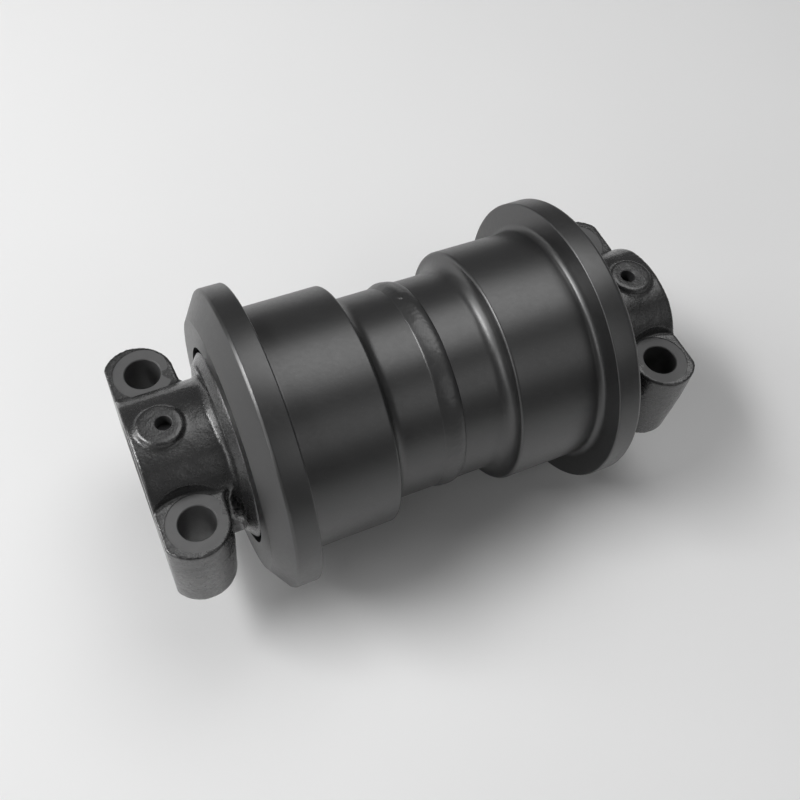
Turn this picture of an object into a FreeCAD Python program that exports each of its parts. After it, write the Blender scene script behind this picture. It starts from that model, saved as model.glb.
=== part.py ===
# Track bottom roller of a crawler excavator, in millimetres.
# The shell turns about Y, its middle is at the origin, and +Z points to the bolt-head side of the
# two collars, away from the track frame. Every piece is made for the right-hand end (+Y), and the
# left-hand one is the same piece turned half a turn about Z.

import FreeCAD, Part
import math
import os

from FreeCAD import Vector

# Shell, outside: distances along the axis are widths that follow each other from the middle.
waist_half_width = 46.0
tread_width = 66.3
rim_width = 16.0
rim_chamfer_width = 1.9
rim_chamfer_depth = 1.0
rim_edge_round = 2.0
crown_width = 11.5
waist_r = 77.0
tread_r = 90.0
flange_r = 110.3
end_face_r = 92.0
waist_fillet = 10.5
tread_edge_round = 2.5
flange_root_fillet = 5.0
flange_edge_round = 1.2
end_edge_round = 0.8

# Weld between the two forgings of the shell.
weld_groove_depth = 11.0
weld_groove_half_width = 6.5
weld_toe_left = 8.0
weld_toe_right = 9.5
weld_height = 1.8

# Shell, inside.
oil_cavity_r = 54.0
oil_cavity_half_width = 34.0
oil_cavity_slope = 9.0
counterbore_r = 72.0
counterbore_depth = 17.2
seal_pocket_depth = 15.5

# Shaft, bushes and their fits.
shaft_r = 35.0
shaft_sink = 1.0
shaft_chamfer = 2.5
running_gap = 0.05
collar_fit = 0.02
side_play = 0.5
bush_wall = 4.5
bush_length = 62.0
bush_flange_height = 6.5
bush_flange_width = 5.0
bush_edge_chamfer = 1.0

# Face seals: a metal ring and a rubber ring on each side of the sealing plane.
housing_gap = 3.0
seal_film = 0.1
seal_ring_space = 2.5
seal_ring_wall = 3.8
seal_ring_nose_width = 12.0
seal_ring_nose_length = 4.0
seal_ring_length = 13.0
seal_ramp_deg = 15.0
rubber_section_r = 4.0
rubber_fit = 0.05
rubber_behind_nose = 1.0
pocket_behind_rubber = 1.5

# O-ring between the shaft and a collar.
oring_groove_depth = 4.4
oring_groove_width = 6.6
oring_from_bolt = 21.0

# Collar casting: seal flange and neck.
hub_inset = 1.5
rim_gap = 3.6
shoulder_stand = 5.6
shoulder_r = 61.0
flange_rim_sink = 0.7
flange_back_round = 3.0
neck_r = 48.8
neck_blend_height = 5.5
neck_blend_length = 7.0
neck_blend_round = 9.0
neck_groove_width = 2.6
neck_groove_depth = 1.2

# Collar casting: block, ears, boss and holes.
bolt_spacing = 124.0
shoulder_to_bolt = 32.7
bolt_to_end = 24.0
bolt_hole_r = 12.5
bolt_chamfer = 0.6
spot_face_r = 20.8
spot_face_height = 24.6
cast_rise = 0.7
mount_drop = 46.0
mount_relief_width = 1.5
mount_relief_depth = 0.6
casting_offset = 2.8
ear_r = 25.2
parting_height = -3.5
draft_deg = 1.6
block_half_width = 46.8
block_start = 2.0
ear_flare_deg = 3.0
ear_root_fillet = 5.0
body_top = 50.9
top_round_r = 64.0
crease_half_width = 26.0
crease_round = 15.0
facet_foot_half_width = 45.8
facet_bulge = 2.1
boss_r = 15.2
boss_top = 53.2
boss_draft_deg = 15.0
boss_edge_round = 1.2
boss_root_depth = 15.0
socket_recess_r = 41.0
socket_recess_offset = 19.0
socket_recess_depth = 16.0
socket_recess_deg = 6.5
cast_fillet = 2.0
bore_chamfer = 1.5
end_edge_chamfer = 0.8

# Lock pin, driven through the boss into the shaft.
pin_r = 5.5
pin_hole_depth = 23.0
pin_recess = 9.0
pin_bottom_gap = 1.0
pin_chamfer = 1.0
pin_mouth_chamfer = 0.5

# Oil way through the shaft and the plug that closes it.
gallery_r = 4.0
cross_hole_r = 3.5
plug_thread_r = 8.0
plug_thread_length = 14.0
plug_thread_fit = 0.05
plug_hole_spare = 4.0
plug_head_r = 12.0
plug_head_height = 5.5
plug_seat_gap = 0.6
plug_seat_spare = 1.0
plug_washer_height = 1.5
plug_socket_flats = 10.0
plug_socket_depth = 7.0
plug_chamfer = 1.0

# Places along the axis, worked out from the widths above.
tread_end = waist_half_width + tread_width
rim_end = tread_end + rim_width
crown_start = rim_end + rim_chamfer_width
roller_end = crown_start + crown_width
counterbore_floor = roller_end - counterbore_depth
pocket_floor = counterbore_floor - seal_pocket_depth
seal_plane = counterbore_floor + housing_gap / 2
collar_front = counterbore_floor + housing_gap
thrust_face = pocket_floor + bush_flange_width + side_play
shoulder = roller_end + shoulder_stand
bolt_line = shoulder + shoulder_to_bolt
casting_line = bolt_line + casting_offset
collar_end = bolt_line + bolt_to_end
shaft_end = collar_end - shaft_sink

# Radii worked out from the fits.
bush_bore_r = shaft_r + running_gap
bush_r = bush_bore_r + bush_wall
bush_flange_r = bush_r + bush_flange_height
collar_bore_r = shaft_r + collar_fit
hub_r = bush_flange_r - hub_inset
collar_rim_r = counterbore_r - rim_gap
seal_ring_bore_r = bush_flange_r + seal_ring_space
seal_nose_r = seal_ring_bore_r + seal_ring_nose_width

# The rubber ring lies between two parallel ramps, one on the metal ring and one in its housing.
ramp_slope = math.tan(math.radians(seal_ramp_deg))
rubber_half_span = (rubber_section_r + rubber_fit) / math.cos(math.radians(seal_ramp_deg))
rubber_from_plane = seal_ring_nose_length + rubber_behind_nose + rubber_section_r
ring_seat_r = seal_ring_bore_r + seal_ring_wall
rubber_ring_r = ring_seat_r + rubber_half_span
housing_ramp_r = rubber_ring_r + rubber_half_span
pocket_from_plane = rubber_from_plane + rubber_section_r + pocket_behind_rubber

tiny = 0.001
joined = 0.000001
AXIS = Vector(0, 1, 0)
UP = Vector(0, 0, 1)
ORIGIN = Vector(0, 0, 0)


def corner_round(before, corner, after, radius):
    """The two ends and the middle of the arc that rounds a corner with the given radius."""
    back = (before - corner).normalize()
    ahead = (after - corner).normalize()
    half_angle = back.getAngle(ahead) / 2
    reach = radius / math.tan(half_angle)
    middle_line = (back + ahead).normalize()
    centre = corner + middle_line * (radius / math.sin(half_angle))
    return corner + back * reach, centre - middle_line * radius, corner + ahead * reach


def outline(points, place):
    """A closed wire of straight runs. A point is (u, v) or, to round it, (u, v, radius)."""
    spots = [place(point[0], point[1]) for point in points]
    radii = [point[2] if len(point) > 2 else 0.0 for point in points]
    count = len(points)
    starts = list(spots)
    ends = list(spots)
    arcs = [None] * count
    for i in range(count):
        if radii[i] > 0:
            first, middle, last = corner_round(spots[i - 1], spots[i], spots[(i + 1) % count], radii[i])
            starts[i] = first
            ends[i] = last
            arcs[i] = Part.Arc(first, middle, last).toShape()
    edges = []
    for i in range(count):
        following = (i + 1) % count
        if arcs[i] is not None:
            edges.append(arcs[i])
        if ends[i].distanceToPoint(starts[following]) > joined:
            edges.append(Part.LineSegment(ends[i], starts[following]).toShape())
    return Part.Wire(edges)


def turned(points):
    """A solid of revolution about the roller's axis, from points (along the axis, radius)."""
    wire = outline(points, lambda along, radius: Vector(radius, along, 0))
    return Part.Face(wire).revolve(ORIGIN, AXIS, 360)


def bar(start, end, radius):
    """A round bar on the roller's axis."""
    return Part.makeCylinder(radius, end - start, Vector(0, start, 0), AXIS)


def upright(x, y, low, high, radius):
    """A round bar that stands along Z."""
    return Part.makeCylinder(radius, high - low, Vector(x, y, low), UP)


def other_end(shape):
    """The same piece at the left-hand end."""
    copy = shape.copy()
    copy.rotate(ORIGIN, UP, 180)
    return copy


def ring_of_round_section(along, ring_r, section_r):
    return Part.makeTorus(ring_r, section_r, Vector(0, along, 0), AXIS)


def shell_half():
    """One forging: waist, tread, flange and crown outside, and cavity, bore and seal pocket inside."""
    ramp_end_r = housing_ramp_r + ramp_slope * (counterbore_floor - (seal_plane - rubber_from_plane))
    ramp_start_r = housing_ramp_r - ramp_slope * (seal_plane - rubber_from_plane - pocket_floor)
    return turned([
        (0, oil_cavity_r),
        (oil_cavity_half_width, oil_cavity_r, cast_fillet),
        (oil_cavity_half_width + oil_cavity_slope, bush_r),
        (pocket_floor, bush_r),
        (pocket_floor, ramp_start_r),
        (counterbore_floor, ramp_end_r),
        (counterbore_floor, counterbore_r),
        (roller_end, counterbore_r),
        (roller_end, end_face_r, end_edge_round),
        (crown_start, flange_r - rim_chamfer_depth, rim_edge_round),
        (rim_end, flange_r, rim_edge_round),
        (tread_end, flange_r, flange_edge_round),
        (tread_end, tread_r, flange_root_fillet),
        (waist_half_width, tread_r, tread_edge_round),
        (waist_half_width, waist_r, waist_fillet),
        (weld_groove_half_width, waist_r),
        (0, waist_r - weld_groove_depth),
    ])


def weld_bead():
    """The weld metal: it fills the groove between the forgings and stands proud of the waist."""
    place = [Vector(waist_r, -weld_toe_left, 0),
             Vector(waist_r + weld_height, (weld_toe_right - weld_toe_left) / 2, 0),
             Vector(waist_r, weld_toe_right, 0)]
    groove = [Vector(waist_r, weld_groove_half_width, 0),
              Vector(waist_r - weld_groove_depth, 0, 0),
              Vector(waist_r, -weld_groove_half_width, 0)]
    edges = [Part.Arc(*place).toShape()]
    corners = [place[2]] + groove + [place[0]]
    for start, end in zip(corners, corners[1:]):
        edges.append(Part.LineSegment(start, end).toShape())
    return Part.Face(Part.Wire(edges)).revolve(ORIGIN, AXIS, 360)


def bush():
    """Flanged bush, pressed into the forging with its flange towards the collar."""
    start = pocket_floor - bush_length
    end = pocket_floor + bush_flange_width
    return turned([
        (start, bush_bore_r),
        (end, bush_bore_r, bush_edge_chamfer),
        (end, bush_flange_r, bush_edge_chamfer),
        (pocket_floor, bush_flange_r),
        (pocket_floor, bush_r),
        (start, bush_r, bush_edge_chamfer),
    ])


def seal_ring(side):
    """Metal face-seal ring. side is 1 in the collar and -1 in the shell."""
    face = seal_plane + side * seal_film / 2

    def at(depth):
        return face + side * depth

    def seat(depth):
        return ring_seat_r + ramp_slope * (rubber_from_plane - depth)

    return turned([
        (at(0), seal_ring_bore_r),
        (at(0), seal_nose_r),
        (at(seal_ring_nose_length), seal_nose_r),
        (at(seal_ring_nose_length), seat(seal_ring_nose_length)),
        (at(seal_ring_length), seat(seal_ring_length)),
        (at(seal_ring_length), seal_ring_bore_r),
    ])


def rubber_ring(side):
    """Rubber ring that carries a metal seal ring in its housing."""
    return ring_of_round_section(seal_plane + side * rubber_from_plane, rubber_ring_r, rubber_section_r)


def shaft():
    """Plain shaft with an oil way, O-ring grooves and a blind hole for each lock pin."""
    body = turned([
        (-shaft_end, 0),
        (-shaft_end, shaft_r - shaft_chamfer),
        (-shaft_end + shaft_chamfer, shaft_r),
        (shaft_end - shaft_chamfer, shaft_r),
        (shaft_end, shaft_r - shaft_chamfer),
        (shaft_end, 0),
    ])
    groove_middle = bolt_line - oring_from_bolt
    groove = bar(groove_middle - oring_groove_width / 2, groove_middle + oring_groove_width / 2,
                 shaft_r + running_gap)
    groove = groove.cut(bar(0, shaft_end, shaft_r - oring_groove_depth))
    pin_hole = upright(0, bolt_line, shaft_r - pin_hole_depth, boss_top, pin_r)
    seat_depth = plug_head_height + plug_washer_height + plug_seat_spare
    oil_way = bar(0, shaft_end, gallery_r)
    oil_way = oil_way.fuse(bar(shaft_end - seat_depth, shaft_end, plug_head_r + plug_seat_gap))
    thread_bottom = shaft_end - seat_depth - plug_thread_length - plug_hole_spare
    oil_way = oil_way.fuse(bar(thread_bottom, shaft_end, plug_thread_r))
    oil_way = oil_way.fuse(upright(0, 0, -shaft_r, shaft_r, cross_hole_r))
    body = body.cut(oil_way)
    for cut in (groove, pin_hole):
        body = body.cut(cut).cut(other_end(cut))
    return body


def shaft_oring():
    section_r = (collar_bore_r - (shaft_r - oring_groove_depth)) / 2
    ring_r = shaft_r - oring_groove_depth + section_r
    return ring_of_round_section(bolt_line - oring_from_bolt, ring_r, section_r - rubber_fit)


def lock_pin():
    """Solid pin with both ends chamfered, driven below the top of the boss."""
    low = shaft_r - pin_hole_depth + pin_bottom_gap
    high = boss_top - pin_recess
    pin = upright(0, bolt_line, low, high, pin_r)
    ends = [edge for edge in pin.Edges if isinstance(edge.Curve, Part.Circle)]
    return pin.makeChamfer(pin_chamfer, ends)


def oil_plug():
    """Plug with a socket head, screwed into the right-hand shaft end."""
    top = shaft_end - plug_seat_spare
    under_head = top - plug_head_height
    tip = under_head - plug_washer_height - plug_thread_length
    shank_r = plug_thread_r - plug_thread_fit
    body = turned([
        (top, 0),
        (top, plug_head_r, plug_chamfer),
        (under_head, plug_head_r),
        (under_head, shank_r),
        (tip + plug_chamfer, shank_r),
        (tip, shank_r - plug_chamfer),
        (tip, 0),
    ])
    corner_r = plug_socket_flats / math.sqrt(3)
    corners = []
    for i in range(6):
        turn = math.radians(60 * i)
        corners.append(Vector(corner_r * math.cos(turn), top - plug_socket_depth, corner_r * math.sin(turn)))
    socket = Part.Face(Part.makePolygon(corners + corners[:1])).extrude(AXIS * plug_socket_depth)
    return body.cut(socket)


def plug_washer():
    low = shaft_end - plug_seat_spare - plug_head_height - plug_washer_height
    washer = bar(low, low + plug_washer_height, plug_head_r)
    return washer.cut(bar(low, low + plug_washer_height, plug_thread_r))


def seal_flange():
    """The round part of the collar: hub, seal pocket, rim, rounded shoulder and neck."""
    ramp_end_r = housing_ramp_r - ramp_slope * (pocket_from_plane - rubber_from_plane)
    ramp_start_r = housing_ramp_r + ramp_slope * (rubber_from_plane - housing_gap / 2)
    pocket_back = seal_plane + pocket_from_plane
    groove_inner_r = neck_r + neck_blend_height
    groove_outer_r = groove_inner_r + neck_groove_width
    return turned([
        (thrust_face, collar_bore_r),
        (thrust_face, hub_r, bush_edge_chamfer),
        (pocket_back, hub_r, cast_fillet),
        (pocket_back, ramp_end_r),
        (collar_front, ramp_start_r),
        (collar_front, collar_rim_r, bush_edge_chamfer),
        (roller_end - flange_rim_sink, collar_rim_r, bush_edge_chamfer),
        (shoulder, shoulder_r, flange_back_round),
        (shoulder, groove_outer_r),
        (shoulder - neck_groove_depth, groove_outer_r - neck_groove_width / 2),
        (shoulder, groove_inner_r),
        (shoulder + neck_blend_length, neck_r, neck_blend_round),
        (casting_line, neck_r),
        (casting_line, collar_bore_r),
    ])


def draft(height):
    """How much the casting shrinks between its parting line and a height."""
    return abs(height - parting_height) * math.tan(math.radians(draft_deg))


def ear_top(y):
    """Height of the cast ear top: level with the spot face inboard, and higher towards the end."""
    inboard = bolt_line - spot_face_r
    return spot_face_height + cast_rise * (y - inboard) / (collar_end - inboard)


def plan_outline(height, top=False):
    """Outline of the block with its two ears at one height, seen from above."""
    half_width = block_half_width - draft(height)
    radius = ear_r - draft(height)
    ear_x = bolt_spacing / 2
    flare = math.radians(ear_flare_deg)
    touch_x = ear_x + radius * math.sin(flare)
    touch_y = casting_line - radius * math.cos(flare)
    root_y = touch_y - (touch_x - half_width) * math.tan(flare)
    tip_y = touch_y + (ear_x + radius - touch_x) * math.tan(flare)
    right = [
        (half_width, shoulder - block_start),
        (half_width, root_y, ear_root_fillet),
        (ear_x + radius, tip_y, radius),
        (ear_x + radius, casting_line + radius, radius),
    ]
    left = [(-x, y, *rounding) for x, y, *rounding in reversed(right)]
    return outline(right + left, lambda x, y: Vector(x, y, ear_top(y) if top else height))


def circles_meet(centre_a, radius_a, centre_b, radius_b, near):
    """Of the two points where circles in a plane across the axis meet, the one nearer to a point."""
    apart = centre_b - centre_a
    gap = apart.Length
    along = (radius_a ** 2 - radius_b ** 2 + gap ** 2) / (2 * gap)
    aside = math.sqrt(radius_a ** 2 - along ** 2)
    across = apart.cross(AXIS) / gap
    meets = [centre_a + apart * (along / gap) + across * (sign * aside) for sign in (1, -1)]
    return min(meets, key=near.distanceToPoint)


def block_section():
    """Section of the block across the axis: rounded top, a flank down to each ear and flat below."""
    top_slope = math.asin(crease_half_width / top_round_r)
    crease_height = body_top - top_round_r * (1 - math.cos(top_slope))
    run_x = facet_foot_half_width - crease_half_width
    run_z = crease_height - spot_face_height
    chord_slope = math.atan2(run_z, run_x)
    half_chord = math.hypot(run_x, run_z) / 2
    flank_bend = 2 * math.atan(facet_bulge / half_chord)
    flank_r = half_chord / math.sin(flank_bend)
    start_slope = chord_slope - flank_bend
    round_r = math.copysign(crease_round, start_slope - top_slope)

    def spot(x, z):
        return Vector(x, shoulder - block_start, z)

    def on_circle(centre, radius, towards):
        return centre + (towards - centre).normalize() * radius

    def corner(side):
        """The round at the crease, which may stand out or be hollow, and the flank below it."""
        crease = spot(side * crease_half_width, crease_height)
        foot = spot(side * facet_foot_half_width, spot_face_height)
        flank_centre = crease - Vector(side * math.sin(start_slope), 0, math.cos(start_slope)) * flank_r
        top_centre = spot(0, body_top - top_round_r)
        round_centre = circles_meet(top_centre, top_round_r - round_r,
                                    flank_centre, flank_r - round_r, crease)
        begin = on_circle(top_centre, top_round_r, round_centre)
        end = on_circle(flank_centre, flank_r, round_centre)
        turn = Part.Arc(begin, on_circle(round_centre, crease_round, crease), end)
        flank = Part.Arc(end, on_circle(flank_centre, flank_r, (end + foot) / 2), foot)
        return begin, turn.toShape(), flank.toShape()

    right_begin, right_turn, right_flank = corner(1)
    left_begin, left_turn, left_flank = corner(-1)
    top = Part.Arc(left_begin, spot(0, body_top), right_begin).toShape()
    foot_x = facet_foot_half_width
    corners = [spot(foot_x, spot_face_height), spot(foot_x, -mount_drop),
               spot(-foot_x, -mount_drop), spot(-foot_x, spot_face_height)]
    sides = [Part.LineSegment(a, b).toShape() for a, b in zip(corners, corners[1:])]
    return Part.Wire([top, right_turn, right_flank] + sides + [left_flank, left_turn])


def boss():
    """Round boss with draft that the lock pin goes in through."""
    base = boss_top - boss_root_depth
    base_r = boss_r + boss_root_depth * math.tan(math.radians(boss_draft_deg))
    return Part.makeCone(base_r, boss_r, boss_root_depth, Vector(0, casting_line, base), UP)


def edges_where(shape, accept, samples=5):
    """Edges of a shape whose sample points all satisfy a test."""
    return [edge for edge in shape.Edges if all(accept(point) for point in edge.discretize(samples))]


def from_boss(point):
    return math.hypot(point.x, point.y - casting_line)


def collar():
    """Collar casting, with its machined bore, end face, mounting face, spot faces and holes."""
    levels = [plan_outline(-mount_drop), plan_outline(parting_height), plan_outline(spot_face_height, True)]
    block = Part.makeLoft(levels, True, True)
    section = block_section()
    full_length = AXIS * (collar_end - shoulder + block_start)
    chamfer_start = full_length - AXIS * end_edge_chamfer
    upper = Part.Face(section).extrude(chamfer_start)
    smaller = section.makeOffset2D(-end_edge_chamfer).translated(full_length)
    upper_end = Part.makeLoft([section.translated(chamfer_start), smaller], True, True)
    upper = upper.fuse(upper_end).removeSplitter()
    casting = block.fuse([upper, seal_flange(), boss()]).removeSplitter()
    root_r = boss_r + (boss_top - body_top) * math.tan(math.radians(boss_draft_deg))
    boss_root = edges_where(casting, lambda point: abs(from_boss(point) - root_r) < cast_fillet
                            and point.z < body_top + tiny)
    casting = casting.makeFillet(cast_fillet, boss_root)
    boss_edge = edges_where(casting, lambda point: abs(point.z - boss_top) < tiny)
    casting = casting.makeFillet(boss_edge_round, boss_edge)
    reach = bolt_spacing
    beyond_end = Part.makeBox(2 * reach, reach, 2 * reach, Vector(-reach, collar_end, -reach))
    below_mount = Part.makeBox(2 * reach, reach, reach, Vector(-reach, shoulder, -mount_drop - reach))
    mount_relief = Part.makeBox(2 * reach, mount_relief_width, reach,
                                Vector(-reach, shoulder, mount_relief_depth - mount_drop - reach))
    casting = casting.cut([beyond_end, below_mount, mount_relief]).removeSplitter()
    lower_end = edges_where(casting, lambda point: abs(point.y - collar_end) < tiny
                            and (point.z < -mount_drop + tiny or abs(point.x) > bolt_spacing / 2))
    lower_end = [edge for edge in lower_end if edge.BoundBox.ZMin < spot_face_height]
    casting = casting.makeChamfer(end_edge_chamfer, lower_end)
    cuts = [bar(0, collar_end, collar_bore_r),
            Part.makeCone(collar_bore_r, collar_bore_r + bore_chamfer, bore_chamfer,
                          Vector(0, collar_end - bore_chamfer, 0), AXIS),
            upright(0, bolt_line, 0, boss_top, pin_r),
            Part.makeCone(pin_r, pin_r + pin_mouth_chamfer, pin_mouth_chamfer,
                          Vector(0, bolt_line, boss_top - pin_mouth_chamfer), UP)]
    for side in (1, -1):
        ear_x = side * bolt_spacing / 2
        cuts.append(upright(ear_x, bolt_line, -mount_drop, spot_face_height, bolt_hole_r))
        cuts.append(upright(ear_x, bolt_line, spot_face_height, boss_top, spot_face_r))
        cuts.append(Part.makeCone(bolt_hole_r, bolt_hole_r + bolt_chamfer, bolt_chamfer,
                                  Vector(ear_x, bolt_line, spot_face_height - bolt_chamfer), UP))
        widening = socket_recess_depth * math.tan(math.radians(socket_recess_deg))
        recess_x = ear_x + side * socket_recess_offset
        cuts.append(Part.makeCone(socket_recess_r, socket_recess_r + widening, socket_recess_depth,
                                  Vector(recess_x, casting_line, spot_face_height + cast_rise), UP))
    return casting.cut(cuts)


def save(name, shape):
    solids = shape.Solids
    whole = solids[0] if len(solids) == 1 else Part.makeCompound(solids)
    whole.exportStep(os.path.join("parts", name + ".step"))
    print(name, len(solids), "solid", round(whole.Volume), "mm3", whole.isValid())


def main():
    os.makedirs("parts", exist_ok=True)
    paired = {
        "roller_half": shell_half(),
        "bush": bush(),
        "rotating_seal_ring": seal_ring(-1),
        "rotating_seal_rubber": rubber_ring(-1),
        "fixed_seal_ring": seal_ring(1),
        "fixed_seal_rubber": rubber_ring(1),
        "shaft_oring": shaft_oring(),
        "collar": collar(),
        "lock_pin": lock_pin(),
    }
    for name, shape in paired.items():
        save(name + "_right", shape)
        save(name + "_left", other_end(shape))
    save("weld_bead", weld_bead())
    save("shaft", shaft())
    save("oil_plug", oil_plug())
    save("plug_washer", plug_washer())


main()
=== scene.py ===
# Looks of the track bottom roller: black paint on forged, welded and cast iron parts, in metres.
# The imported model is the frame. The roller's axis is Y and its middle is the origin.
import math

import bmesh
import bpy
import numpy as np
from mathutils import Matrix, Vector, noise


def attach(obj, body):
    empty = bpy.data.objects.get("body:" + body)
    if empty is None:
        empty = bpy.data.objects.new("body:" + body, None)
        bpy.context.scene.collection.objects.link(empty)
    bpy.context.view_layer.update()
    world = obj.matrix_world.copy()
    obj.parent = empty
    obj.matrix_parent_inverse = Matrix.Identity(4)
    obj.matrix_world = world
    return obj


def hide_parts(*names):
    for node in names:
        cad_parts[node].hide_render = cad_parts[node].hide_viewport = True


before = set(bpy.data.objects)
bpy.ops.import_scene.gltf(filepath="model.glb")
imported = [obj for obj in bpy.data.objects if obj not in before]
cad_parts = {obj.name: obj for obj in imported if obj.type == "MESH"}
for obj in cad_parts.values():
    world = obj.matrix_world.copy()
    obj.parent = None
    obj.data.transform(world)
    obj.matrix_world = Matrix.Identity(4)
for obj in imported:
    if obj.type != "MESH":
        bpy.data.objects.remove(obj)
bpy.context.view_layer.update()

MM = 0.001

# Camera, as fitted to the photograph: its place, its axes in the frame and its lens.
CAMERA_PLACE = (0.32734, -0.21229, 0.56883)
IMAGE_RIGHT = (0.41378271, 0.90590021, 0.09015914)
IMAGE_DOWN = (0.78235336, -0.30320473, -0.54404974)
FORWARD = (-0.46551809, 0.29565468, -0.83419495)
FOCAL_PX = 917.97
PICTURE_PX = 800
SENSOR_MM = 36

# Lamps: name, direction from the origin, distance, width, height and radiance.
LAMPS = (
    ("side_softbox", (-0.311, -0.769, 0.559), 3.2, 1.5, 2.8, 3.8),
    ("key_softbox", (-0.177, -0.618, 0.766), 3.1, 1.7, 0.5, 15.2),
    ("front_softbox", (0.347, -0.860, 0.375), 3.2, 1.2, 1.5, 2.4),
    ("top_softbox", (-0.261, 0.312, 0.914), 3.2, 2.4, 2.0, 2.25),
    ("fill_softbox", (0.694, 0.324, 0.643), 3.2, 1.6, 1.6, 0.8),
)

# The floor under the roller.
FLOOR_HEIGHT = -0.1103
FLOOR_HALF = 12.0
FLOOR_PATCH_MM = 400.0
FLOOR_DARK = (0.84, 0.84, 0.84)
FLOOR_LIGHT = (0.86, 0.86, 0.86)
FLOOR_ROUGHNESS = 0.9
FLOOR_SHINE = 0.2

# The grey beyond the floor: as the camera and mirrors see it, and as all else is lit by it.
STUDIO_SEEN = 0.15
STUDIO_LIGHT = 0.02

# Most values of a noise lie between these two.
NOISE_LOW = 0.3
NOISE_HIGH = 0.7

PAINT_IOR = 1.5

# Dust on the forgings: where in its noise a speck starts and is full, how much it covers, its colour.
DUST_START = 0.66
DUST_FULL = 0.80
DUST_COVER = 0.35
DUST_COLOUR = (0.075, 0.075, 0.072)

# The colour of a stain on bare metal, as a share of the metal's own.
STAIN = 0.7


class Graph:
    """The node tree of one material, from its textures to its shader."""

    def __init__(self, name):
        self.material = bpy.data.materials.new(name)
        self.material.use_nodes = True
        self.tree = self.material.node_tree
        self.tree.nodes.clear()
        self.output = self.tree.nodes.new("ShaderNodeOutputMaterial")
        self.place = self.tree.nodes.new("ShaderNodeTexCoord").outputs["Object"]

    def add(self, kind, settings=None, **inputs):
        """A shader node. Its inputs are given by name, with _ for a space."""
        node = self.tree.nodes.new("ShaderNode" + kind)
        for key, value in (settings or {}).items():
            setattr(node, key, value)
        for key, value in inputs.items():
            self.put(node.inputs[key.replace("_", " ")], value)
        return node

    def put(self, socket, value):
        """Gives an input a value, or links it to another node's output."""
        if isinstance(value, bpy.types.NodeSocket):
            self.tree.links.new(value, socket)
        else:
            socket.default_value = value

    def grain(self, size_mm, detail, gain, seed):
        """Noise from 0 to 1 with lumps about size_mm across. Gain is the weight of its finer layers."""
        texture = self.add("TexNoise", {"noise_dimensions": "4D"}, Vector=self.place, W=seed,
                           Scale=1.0 / MM / size_mm, Detail=detail, Roughness=gain)
        return texture.outputs["Fac"]

    def spread(self, value, low, high, to_low=0.0, to_high=1.0):
        """A value between two limits, stretched to two others."""
        node = self.add("MapRange", {"clamp": True}, Value=value, From_Min=low, From_Max=high,
                        To_Min=to_low, To_Max=to_high)
        return node.outputs["Result"]

    def times(self, value, factor):
        node = self.add("Math", {"operation": "MULTIPLY"})
        self.put(node.inputs[0], value)
        self.put(node.inputs[1], factor)
        return node.outputs[0]

    def mix_colour(self, share, first, second):
        """Two colours mixed. The node's sockets for colours are inputs 6 and 7 and output 2."""
        node = self.add("Mix", {"data_type": "RGBA"})
        self.put(node.inputs[0], share)
        self.put(node.inputs[6], (*first, 1.0) if isinstance(first, tuple) else first)
        self.put(node.inputs[7], (*second, 1.0) if isinstance(second, tuple) else second)
        return node.outputs[2]

    def tone(self, size_mm, seed, dark, light, detail=3.0):
        """A colour that drifts between two others, in patches about size_mm across."""
        patches = self.spread(self.grain(size_mm, detail, 0.5, seed), NOISE_LOW, NOISE_HIGH)
        return self.mix_colour(patches, dark, light)

    def sheen(self, size_mm, seed, low, high, detail=2.0, gain=0.6):
        """A roughness that varies between two values."""
        return self.spread(self.grain(size_mm, detail, gain, seed), NOISE_LOW, NOISE_HIGH, low, high)

    def skin(self, size_mm, seed, height_mm, detail=2.0, gain=0.5, under=None):
        """The normal of a surface with small lumps. It may lie over another normal."""
        lumps = self.grain(size_mm, detail, gain, seed)
        node = self.add("Bump", Height=lumps, Distance=height_mm * MM, Strength=1.0)
        if under is not None:
            self.put(node.inputs["Normal"], under)
        return node.outputs["Normal"]

    def shader(self, **inputs):
        """Ends the tree with the surface itself, and gives the material."""
        node = self.add("BsdfPrincipled", **inputs)
        self.tree.links.new(node.outputs[0], self.output.inputs[0])
        return self.material


def forged_paint(name):
    """Satin black with specks of dust, over a turned and shot-blasted forging."""
    g = Graph(name)
    paint = g.tone(size_mm=45.0, seed=1.0, dark=(0.008, 0.008, 0.0083), light=(0.012, 0.012, 0.0122))
    specks = g.spread(g.grain(size_mm=0.9, detail=1.0, gain=0.5, seed=3.0), DUST_START, DUST_FULL)
    colour = g.mix_colour(g.times(specks, DUST_COVER), paint, DUST_COLOUR)
    roughness = g.sheen(size_mm=2.4, seed=5.0, low=0.32, high=0.39, detail=3.0)
    peel = g.skin(size_mm=1.7, seed=7.0, height_mm=0.016)
    fine = g.skin(size_mm=0.55, seed=9.0, height_mm=0.006, detail=1.0, under=peel)
    return g.shader(Base_Color=colour, Roughness=roughness, Normal=fine, IOR=PAINT_IOR,
                    Specular_IOR_Level=1.0)


def cast_paint(name):
    """Glossy black over the sand-cast skin of the collars."""
    g = Graph(name)
    paint = g.tone(size_mm=30.0, seed=11.0, dark=(0.015, 0.015, 0.0155), light=(0.022, 0.022, 0.022))
    roughness = g.sheen(size_mm=3.0, seed=13.0, low=0.22, high=0.30)
    sand = g.skin(size_mm=1.6, seed=15.0, height_mm=0.28, detail=3.0, gain=0.62)
    return g.shader(Base_Color=paint, Roughness=roughness, Normal=sand, IOR=PAINT_IOR,
                    Specular_IOR_Level=0.75, Coat_Weight=0.2, Coat_Roughness=0.12)


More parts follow.
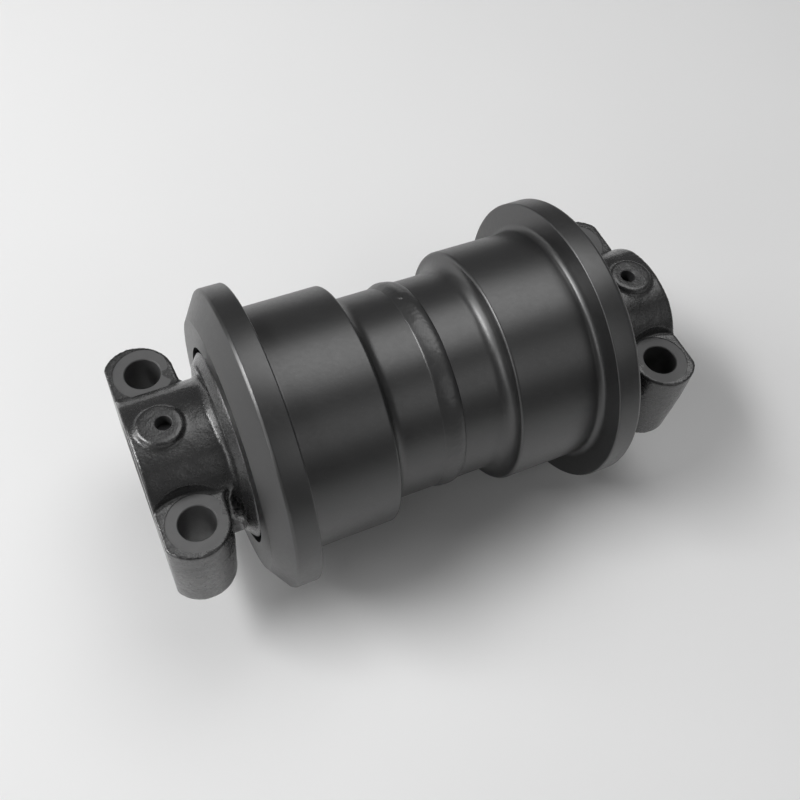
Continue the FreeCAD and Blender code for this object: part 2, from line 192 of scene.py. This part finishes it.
def weld_paint(name):
    """The same satin black as on the forgings, over the ripples of the weld."""
    g = Graph(name)
    paint = g.tone(size_mm=12.0, seed=31.0, dark=(0.0075, 0.0075, 0.008), light=(0.012, 0.012, 0.012))
    roughness = g.sheen(size_mm=1.6, seed=33.0, low=0.33, high=0.40)
    fine = g.skin(size_mm=0.9, seed=35.0, height_mm=0.03)
    return g.shader(Base_Color=paint, Roughness=roughness, Normal=fine, IOR=PAINT_IOR,
                    Specular_IOR_Level=1.0)


def machined_paint(name):
    """Paint over the turned spot faces and drilled holes: smooth, with the faint marks of the tool. Its
    grey, much lighter than the black of the cast paint, is a painted reflection of the light above.
    """
    g = Graph(name)
    # This grey is painted reflection. It is the same black paint made lighter to stand for the light
    # above, and it lies on the spot faces and in the holes alike.
    paint = g.tone(size_mm=9.0, seed=41.0, dark=(0.060, 0.060, 0.061), light=(0.075, 0.075, 0.075))
    roughness = g.sheen(size_mm=1.4, seed=43.0, low=0.40, high=0.50)
    fine = g.skin(size_mm=0.8, seed=45.0, height_mm=0.012)
    return g.shader(Base_Color=paint, Roughness=roughness, Normal=fine, IOR=PAINT_IOR,
                    Specular_IOR_Level=0.75)


def plain_look(name, colour, rough_low, rough_high, grain_mm, depth_mm, metallic=1.0):
    """A bare metal, or rubber where metallic is 0, with faint stains and marks."""
    g = Graph(name)
    stained = tuple(channel * STAIN for channel in colour)
    tint = g.tone(size_mm=6.0, seed=21.0, dark=stained, light=colour)
    roughness = g.sheen(grain_mm, seed=23.0, low=rough_low, high=rough_high, gain=0.5)
    marks = g.skin(grain_mm, seed=25.0, height_mm=depth_mm)
    return g.shader(Base_Color=tint, Roughness=roughness, Normal=marks, Metallic=metallic)


ROLLER_PAINT = forged_paint("roller_paint_look")
WELD_PAINT = weld_paint("weld_paint_look")
CASTING_PAINT = cast_paint("casting_paint_look")
MACHINED_PAINT = machined_paint("machined_paint_look")
PIN_STEEL = plain_look("pin_steel_look", (0.05, 0.05, 0.052), 0.45, 0.6, 1.2, 0.02)
BRONZE = plain_look("bronze_look", (0.55, 0.34, 0.14), 0.25, 0.4, 1.0, 0.01)
COPPER = plain_look("copper_look", (0.62, 0.30, 0.18), 0.3, 0.45, 0.8, 0.01)
SEAL_IRON = plain_look("seal_iron_look", (0.42, 0.42, 0.43), 0.15, 0.25, 0.7, 0.004)
RUBBER = plain_look("rubber_look", (0.016, 0.016, 0.016), 0.6, 0.75, 0.6, 0.01, metallic=0.0)

LOOKS = {"weld_bead": WELD_PAINT, "shaft": ROLLER_PAINT, "oil_plug": PIN_STEEL, "plug_washer": COPPER}
PAIRED_LOOKS = {
    "roller_half": ROLLER_PAINT, "collar": CASTING_PAINT, "lock_pin": PIN_STEEL, "bush": BRONZE,
    "rotating_seal_ring": SEAL_IRON, "fixed_seal_ring": SEAL_IRON,
    "rotating_seal_rubber": RUBBER, "fixed_seal_rubber": RUBBER, "shaft_oring": RUBBER,
}
for stem, look in PAIRED_LOOKS.items():
    LOOKS[stem + "_left"] = look
    LOOKS[stem + "_right"] = look


def dress(obj, material):
    if not obj.material_slots:
        obj.data.materials.append(material)
    for slot in obj.material_slots:
        slot.material = material


for node_name, look in LOOKS.items():
    dress(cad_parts[node_name], look)


# All sizes below are in millimetres. These first ones repeat sizes of the CAD model.

WAIST_R = 77.0
WELD_TOES = (-8.0, 9.5)
WELD_GROOVE = ((6.5, WAIST_R), (0.0, 66.0), (-6.5, WAIST_R))
WELD_HEIGHT = 1.8

ROLLER_END_Y = 141.7
END_Y = 204.0
MOUNT_Z = -46.0
BOLT_X = 62.0
BOLT_Y = 180.0
BOLT_HOLE_R = 12.5
BOLT_CHAMFER = 0.6
SPOT_FACE_R = 20.8
SPOT_FACE_Z = 24.6
CAST_RISE = 0.7
BORE_R = 35.02
BORE_CHAMFER = 1.5
BORE_START_Y = 114.5
PIN_HOLE_R = 5.5
PIN_CHAMFER = 0.5
BOSS_TOP_Z = 53.2

# Edges that turn by more than this stay sharp.
CRISP_ANGLE = math.radians(25)

# Steps round a circle of the shell, of a bore and its plug, of a bolt hole and the other plugs, and
# of a pin hole.
SHELL_STEPS = 480
BORE_STEPS = 192
BOLT_STEPS = 128
PIN_STEPS = 64

# Rings of the weld bead, and strips across each.
WELD_RINGS = 900
WELD_STRIPS = 26

# The run of the weld has its crest off the middle. Crest and toes wander on their way round, by a
# noise that is read along a circle. The toes dip under the waist, and the bead stands clear of it.
CREST_Y = 3.0
CREST_WANDER = 0.5
CREST_WANDER_SIZE = 16.0
TOE_WANDER = 0.35
TOE_WANDER_SIZE = 9.0
WANDER_CIRCLE_R = 30.0
TOE_DIP = 0.05
BEAD_CLEARANCE = 0.02

# Ripples follow each other round the waist. Off the crest they lag by RIPPLE_LAG times the distance.
RIPPLE_PITCH = 3.8
RIPPLE_HEIGHT = 0.055
RIPPLE_LAG = 2.0

# Lumps of the weld as (height, size, seed). They fade out near the toes, the later the larger LUMP_FADE.
WELD_LUMPS = ((0.16, 7.0, 2.0), (0.07, 2.6, 3.0))
LUMP_FADE = 2.5

# The end of the run lies over its start, as a second layer with a round nose. It rises and falls
# between angles in degrees. A nose with less than LEAST_NOSE of half width is left out.
OVERLAP_RISE = (108.0, 113.0)
OVERLAP_FALL = (150.0, 175.0)
OVERLAP_Y = -1.4
OVERLAP_HALF_WIDTH = 5.6
OVERLAP_MARGIN = 0.4
OVERLAP_HEIGHT = 0.85
LEAST_NOSE = 0.1

# Plugs fill the holes of the CAD collar before its edges are softened. They lap into the metal and
# end a little inside its faces. Points of its mesh closer than MERGE_DISTANCE become one.
BOLT_PLUG_R = BOLT_HOLE_R + 0.6
SPOT_PLUG_R = SPOT_FACE_R + 0.1
SPOT_PLUG_FOOT_Z = 20.0
PIN_PLUG_R = PIN_HOLE_R + 0.8
PIN_PLUG_FOOT_Z = BORE_R - 2.0
BORE_PLUG_R = BORE_R + 1.8
PLUG_INSET = 0.1
PLUG_TOP_INSET = 0.02
MERGE_DISTANCE = 0.002

# The skin of the casting: how finely it is remade, how it is softened, and the waves and grains of
# the sand mould as (height, size, seed).
SKIN_VOXEL = 1.25
SKIN_SOFTNESS = 0.5
SKIN_PASSES = 4
SAND_WAVES = ((0.16, 13.0, 7.0), (0.11, 4.5, 8.0))

# The waves of the skin rise and fall between these: beside the shell, at the end face and the foot.
SKIN_START_Y = (ROLLER_END_Y - 1.0, ROLLER_END_Y + 3.0)
SKIN_END_Y = (END_Y - 2.0, END_Y - 0.6)
SKIN_FOOT_Z = (MOUNT_Z + 0.6, MOUNT_Z + 2.5)

# How far the cutting tools run past the casting, and where that of the pin hole starts in the bore.
TOOL_BELOW = 5.0
TOOL_ABOVE = 12.0
TOOL_BEYOND = 6.0
PIN_TOOL_FOOT_Z = BORE_R - 4.0

# Material indices of a collar's faces.
CAST = 0
MACHINED = 1


def wave(place, size, seed):
    """Smooth noise from -1 to 1."""
    return noise.noise(Vector(place) / size + Vector((seed, -seed, 2.0 * seed)))


def waves(place, layers):
    """The sum of several waves, given as (height, size, seed)."""
    return sum(height * wave(place, size, seed) for height, size, seed in layers)


def bell(value, middle, half_width):
    """1 in the middle, and 0 from half_width away from it."""
    share = min(abs(value - middle) / half_width, 1.0)
    return (1.0 - share ** 2) ** 2


def step_up(value, low, high):
    """A smooth step: 0 up to low, 1 from high."""
    share = min(max((value - low) / (high - low), 0.0), 1.0)
    return share * share * (3.0 - 2.0 * share)


def about_axis(along, radius, turn):
    """The place at an angle on a circle about the roller's axis."""
    return Vector((radius * math.cos(turn), along, radius * math.sin(turn)))


def wander_place(turn):
    """Where the noise that moves the weld's crest and toes is read."""
    return WANDER_CIRCLE_R * math.cos(turn), WANDER_CIRCLE_R * math.sin(turn), 0.0


def linked(name, data, materials=()):
    """A new object of the scene."""
    for material in materials:
        data.materials.append(material)
    thing = bpy.data.objects.new(name, data)
    bpy.context.collection.objects.link(thing)
    return thing


def new_piece(name, mesh, material, body, node):
    piece = linked(name, mesh, [material])
    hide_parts(node)
    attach(piece, body)


def face_outward(bm):
    bmesh.ops.recalc_face_normals(bm, faces=bm.faces)


def mesh_from(bm, name):
    """A mesh with what was built, which is freed."""
    mesh = bpy.data.meshes.new(name)
    bm.to_mesh(mesh)
    bm.free()
    return mesh


def closed_grid(bm, rows):
    """Faces between rows of places. Each row closes on itself, and the last row on the first."""
    made = [[bm.verts.new(place * MM) for place in row] for row in rows]
    strips = []
    for row, following in zip(made, made[1:] + made[:1]):
        strip = []
        for i in range(len(row)):
            k = (i + 1) % len(row)
            strip.append(bm.faces.new((row[i], row[k], following[k], following[i])))
            strip[-1].smooth = True
        strips.append(strip)
    return strips


def turned_outline(node):
    """The closed outline of a turned CAD node in its half plane, as (distance along, radius) pairs."""
    spots = []
    for vertex in node.data.vertices:
        x, y, z = vertex.co / MM
        spots.append((round(y, 2), round(math.hypot(x, z), 2)))
    neighbours = {}
    for edge in node.data.edges:
        first, second = (spots[index] for index in edge.vertices)
        if first != second:
            neighbours.setdefault(first, set()).add(second)
            neighbours.setdefault(second, set()).add(first)
    loop = [min(neighbours)]
    onward = neighbours[loop[0]]
    while onward:
        loop.append(min(onward, key=lambda spot: math.dist(spot, loop[-1])))
        onward = neighbours[loop[-1]].difference(loop)
    return loop


def make_shell(name):
    """A forging of the shell, turned finely from the outline of its CAD node."""
    turns = [math.tau * i / SHELL_STEPS for i in range(SHELL_STEPS)]
    bm = bmesh.new()
    closed_grid(bm, [[about_axis(along, radius, turn) for turn in turns]
                     for along, radius in turned_outline(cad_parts[name])])
    face_outward(bm)
    for edge in bm.edges:
        edge.smooth = edge.calc_face_angle(0.0) < CRISP_ANGLE
    mesh = mesh_from(bm, name + "_turned")
    new_piece(name + "_turned", mesh, ROLLER_PAINT, "roller", name)


def weld_height(angle, along):
    """How far the weld metal stands over the waist, at an angle in degrees and a place along the axis."""
    turn = math.radians(angle)
    crest = CREST_Y + CREST_WANDER * wave(wander_place(turn), CREST_WANDER_SIZE, 1.0)
    toe = WELD_TOES[0] if along < crest else WELD_TOES[1]
    share = min(abs((along - crest) / (toe - crest)), 1.0)
    height = WELD_HEIGHT * (1.0 - share ** 2)
    swept = (turn * WAIST_R + RIPPLE_LAG * abs(along - crest)) / RIPPLE_PITCH
    height += RIPPLE_HEIGHT * math.sin(math.tau * swept) * (1.0 - share)
    lumps = waves(about_axis(along, WAIST_R, turn), WELD_LUMPS)
    height += lumps * min(1.0, LUMP_FADE * (1.0 - share))
    over = step_up(angle, *OVERLAP_RISE) * (1.0 - step_up(angle, *OVERLAP_FALL))
    nose = OVERLAP_HALF_WIDTH * math.sqrt(max(over, 0.0))
    if nose > LEAST_NOSE:
        height += OVERLAP_HEIGHT * bell(along, OVERLAP_Y, nose + OVERLAP_MARGIN)
    return max(height, 0.0)


def weld_profile(angle):
    """The outline of the weld at an angle in degrees, bead and groove, as (distance along, radius)."""
    around = wander_place(math.radians(angle))
    left = WELD_TOES[0] + TOE_WANDER * (1.0 + wave(around, TOE_WANDER_SIZE, 5.0))
    right = WELD_TOES[1] - TOE_WANDER * (1.0 + wave(around, TOE_WANDER_SIZE, 6.0))
    profile = []
    for j in range(WELD_STRIPS + 1):
        along = left + (right - left) * j / WELD_STRIPS
        if j in (0, WELD_STRIPS):
            radius = WAIST_R - TOE_DIP
        else:
            radius = WAIST_R + BEAD_CLEARANCE + weld_height(angle, along)
        profile.append((along, radius))
    return profile + list(WELD_GROOVE)


def make_weld():
    """The weld bead, with the ripples of its run, its wandering toes and the overlap at its end."""
    rings = []
    for i in range(WELD_RINGS):
        angle = 360.0 * i / WELD_RINGS
        turn = math.radians(angle)
        rings.append([about_axis(along, radius, turn) for along, radius in weld_profile(angle)])
    bm = bmesh.new()
    for strip in closed_grid(bm, rings):
        for face in strip[WELD_STRIPS:]:
            for edge in face.edges:
                edge.smooth = False
    face_outward(bm)
    mesh = mesh_from(bm, "weld_bead_piece")
    new_piece("weld_bead_piece", mesh, WELD_PAINT, "roller", "weld_bead")


def add_turned(bm, rings, material):
    """Adds a turned solid with flat ends, from rings of places."""
    made = [[bm.verts.new(Vector(place) * MM) for place in ring] for ring in rings]
    faces = [bm.faces.new(made[0]), bm.faces.new(made[-1])]
    for lower, upper in zip(made, made[1:]):
        for i in range(len(lower)):
            k = (i + 1) % len(lower)
            faces.append(bm.faces.new((lower[i], lower[k], upper[k], upper[i])))
    for face in faces:
        face.material_index = material
        face.smooth = True


def standing_rings(side, x, y, profile, steps):
    """Rings about an upright line, from (height, radius) pairs. A height may be a function of y."""
    rings = []
    for height, radius in profile:
        ring = []
        for i in range(steps):
            turn = math.tau * i / steps
            px = x + radius * math.cos(turn)
            py = y + radius * math.sin(turn)
            ring.append((side * px, side * py, height(py) if callable(height) else height))
        rings.append(ring)
    return rings


def lying_rings(side, profile, steps):
    """Rings about the roller's axis, from (distance along it, radius) pairs."""
    turns = [math.tau * i / steps for i in range(steps)]
    return [[about_axis(side * along, radius, turn) for turn in turns] for along, radius in profile]


def ear_top(y):
    """The height of an ear's cast top, which rises a little towards the end face."""
    inboard = BOLT_Y - SPOT_FACE_R
    return SPOT_FACE_Z + CAST_RISE * (y - inboard) / (END_Y - inboard)


def rough_casting(side, node):
    """The collar as it comes from the mould: its holes and spot faces filled in."""
    bolt_plug = [
        (MOUNT_Z + PLUG_INSET, BOLT_PLUG_R), (SPOT_PLUG_FOOT_Z, BOLT_PLUG_R),
        (SPOT_PLUG_FOOT_Z, SPOT_PLUG_R), (lambda y: ear_top(y) - PLUG_TOP_INSET, SPOT_PLUG_R)]
    pin_plug = [(PIN_PLUG_FOOT_Z, PIN_PLUG_R), (BOSS_TOP_Z - PLUG_TOP_INSET, PIN_PLUG_R)]
    bore_plug = [(BORE_START_Y + PLUG_INSET, BORE_PLUG_R), (END_Y - PLUG_INSET, BORE_PLUG_R)]
    bm = bmesh.new()
    bm.from_mesh(node.data)
    bmesh.ops.remove_doubles(bm, verts=bm.verts, dist=MERGE_DISTANCE * MM)
    for ear_x in (BOLT_X, -BOLT_X):
        add_turned(bm, standing_rings(side, ear_x, BOLT_Y, bolt_plug, BOLT_STEPS), CAST)
    add_turned(bm, standing_rings(side, 0.0, BOLT_Y, pin_plug, BOLT_STEPS), CAST)
    add_turned(bm, lying_rings(side, bore_plug, BORE_STEPS), CAST)
    face_outward(bm)
    return mesh_from(bm, node.name + "_rough")


def applied(piece):
    """The piece's mesh with its modifiers applied."""
    bpy.context.view_layer.update()
    graph = bpy.context.evaluated_depsgraph_get()
    mesh = bpy.data.meshes.new_from_object(piece.evaluated_get(graph), depsgraph=graph)
    piece.modifiers.clear()
    piece.data = mesh
    return mesh


def roughen(mesh):
    """Small waves and grains of the sand mould, on the surfaces that the mould leaves as they are."""
    count = len(mesh.vertices)
    places = np.empty(count * 3)
    normals = np.empty(count * 3)
    mesh.vertices.foreach_get("co", places)
    mesh.vertices.foreach_get("normal", normals)
    places = places.reshape(-1, 3)
    normals = normals.reshape(-1, 3)
    heights = np.zeros(count)
    for i in range(count):
        x, y, z = places[i] / MM
        outside = step_up(abs(y), *SKIN_START_Y)
        faces = (1.0 - step_up(abs(y), *SKIN_END_Y)) * step_up(z, *SKIN_FOOT_Z)
        share = outside * faces
        if share > 0.0:
            heights[i] = share * waves((x, y, z), SAND_WAVES)
    places += normals * (heights * MM)[:, None]
    mesh.vertices.foreach_set("co", places.ravel())
    mesh.update()


def soften_casting(piece):
    """Rounds the edges of a casting, as its mould does, and gives it the skin of the sand."""
    remesh = piece.modifiers.new("skin", "REMESH")
    remesh.mode = "VOXEL"
    remesh.voxel_size = SKIN_VOXEL * MM
    remesh.use_smooth_shade = True
    soften = piece.modifiers.new("soften", "SMOOTH")
    soften.factor = SKIN_SOFTNESS
    soften.iterations = SKIN_PASSES
    roughen(applied(piece))


def cut(piece, name, solids):
    """Cuts turned solids out of a piece. Their faces leave the machined material behind."""
    bm = bmesh.new()
    for rings in solids:
        add_turned(bm, rings, MACHINED)
    face_outward(bm)
    tool = linked(name, mesh_from(bm, name), [CASTING_PAINT, MACHINED_PAINT])
    boolean = piece.modifiers.new("cut", "BOOLEAN")
    boolean.operation = "DIFFERENCE"
    boolean.solver = "MANIFOLD"
    boolean.object = tool
    applied(piece)
    bpy.data.objects.remove(tool)


def crisp_machined_edges(mesh):
    """Sharp where a tool's cut meets the cast skin or another cut, and smooth elsewhere."""
    bm = bmesh.new()
    bm.from_mesh(mesh)
    for face in bm.faces:
        face.smooth = True
    for edge in bm.edges:
        kinds = {face.material_index for face in edge.link_faces}
        between_cuts = kinds == {MACHINED} and edge.calc_face_angle(0.0) > CRISP_ANGLE
        edge.smooth = not (len(kinds) > 1 or between_cuts)
    bm.to_mesh(mesh)
    bm.free()


def machine_casting(side, piece):
    """Cuts the bolt holes with their spot faces, the bore and the pin hole."""
    bolt_tool = [
        (MOUNT_Z - TOOL_BELOW, BOLT_HOLE_R), (SPOT_FACE_Z - BOLT_CHAMFER, BOLT_HOLE_R),
        (SPOT_FACE_Z, BOLT_HOLE_R + BOLT_CHAMFER), (SPOT_FACE_Z, SPOT_FACE_R),
        (SPOT_FACE_Z + TOOL_ABOVE, SPOT_FACE_R)]
    bore_tool = [
        (BORE_START_Y - TOOL_BEYOND, BORE_R), (END_Y - BORE_CHAMFER, BORE_R),
        (END_Y + TOOL_BEYOND, BORE_R + BORE_CHAMFER + TOOL_BEYOND)]
    pin_tool = [
        (PIN_TOOL_FOOT_Z, PIN_HOLE_R), (BOSS_TOP_Z - PIN_CHAMFER, PIN_HOLE_R),
        (BOSS_TOP_Z + TOOL_BEYOND, PIN_HOLE_R + PIN_CHAMFER + TOOL_BEYOND)]
    bolts = [standing_rings(side, ear_x, BOLT_Y, bolt_tool, BOLT_STEPS) for ear_x in (BOLT_X, -BOLT_X)]
    cut(piece, "bore_tool", bolts + [lying_rings(side, bore_tool, BORE_STEPS)])
    cut(piece, "pin_tool", [standing_rings(side, 0.0, BOLT_Y, pin_tool, PIN_STEPS)])
    crisp_machined_edges(piece.data)


def make_collar(side, name):
    """A sand casting with rounded edges and a rough skin, then its machined faces and holes."""
    mesh = rough_casting(side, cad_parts[name])
    piece = linked(name + "_casting", mesh, [CASTING_PAINT, MACHINED_PAINT])
    soften_casting(piece)
    machine_casting(side, piece)
    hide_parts(name)
    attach(piece, "fixed")


def make_camera():
    data = bpy.data.cameras.new("photo_camera")
    data.sensor_width = SENSOR_MM
    data.lens = FOCAL_PX * SENSOR_MM / PICTURE_PX
    camera = linked("photo_camera", data)
    turn = Matrix((IMAGE_RIGHT, [-v for v in IMAGE_DOWN], [-v for v in FORWARD])).transposed()
    camera.matrix_world = Matrix.Translation(CAMERA_PLACE) @ turn.to_4x4()
    bpy.context.scene.camera = camera


def softbox(name, direction, distance, width, height, radiance):
    """A rectangular lamp that faces the origin. Its radiance is what a mirror would show."""
    data = bpy.data.lights.new(name, "AREA")
    data.shape = "RECTANGLE"
    data.size = width
    data.size_y = height
    data.energy = radiance * math.pi * width * height
    lamp = linked(name, data)
    towards = Vector(direction).normalized()
    lamp.location = towards * distance
    lamp.rotation_mode = "QUATERNION"
    lamp.rotation_quaternion = towards.to_track_quat("Z", "Y")


def make_floor():
    mesh = bpy.data.meshes.new("studio_floor")
    corners = [(x * FLOOR_HALF, y * FLOOR_HALF, FLOOR_HEIGHT)
               for x, y in ((-1, -1), (1, -1), (1, 1), (-1, 1))]
    mesh.from_pydata(corners, [], [(0, 1, 2, 3)])
    g = Graph("studio_floor_look")
    tone = g.tone(FLOOR_PATCH_MM, seed=0.0, dark=FLOOR_DARK, light=FLOOR_LIGHT, detail=2.0)
    look = g.shader(Base_Color=tone, Roughness=FLOOR_ROUGHNESS, Specular_IOR_Level=FLOOR_SHINE)
    linked("studio_floor", mesh, [look])


def make_world():
    """A grey studio beyond the floor, which the camera and mirrors see. It gives hardly any light."""
    world = bpy.data.worlds.new("studio_world")
    world.use_nodes = True
    bpy.context.scene.world = world
    nodes = world.node_tree.nodes
    links = world.node_tree.links
    background = nodes["Background"]
    background.inputs["Color"].default_value = (1.0, 1.0, 1.0, 1.0)
    path = nodes.new("ShaderNodeLightPath")
    seen = path.outputs["Is Camera Ray"]
    for kind in ("Is Glossy Ray", "Is Transmission Ray"):
        add = nodes.new("ShaderNodeMath")
        add.operation = "ADD"
        add.use_clamp = True
        links.new(seen, add.inputs[0])
        links.new(path.outputs[kind], add.inputs[1])
        seen = add.outputs[0]
    strength = nodes.new("ShaderNodeMapRange")
    strength.inputs["To Min"].default_value = STUDIO_LIGHT
    strength.inputs["To Max"].default_value = STUDIO_SEEN
    links.new(seen, strength.inputs["Value"])
    links.new(strength.outputs["Result"], background.inputs["Strength"])


make_shell("roller_half_left")
make_shell("roller_half_right")
make_weld()
make_collar(-1, "collar_left")
make_collar(1, "collar_right")
make_camera()
make_floor()
make_world()
for lamp in LAMPS:
    softbox(*lamp)
bpy.context.scene.view_settings.view_transform = "Standard"
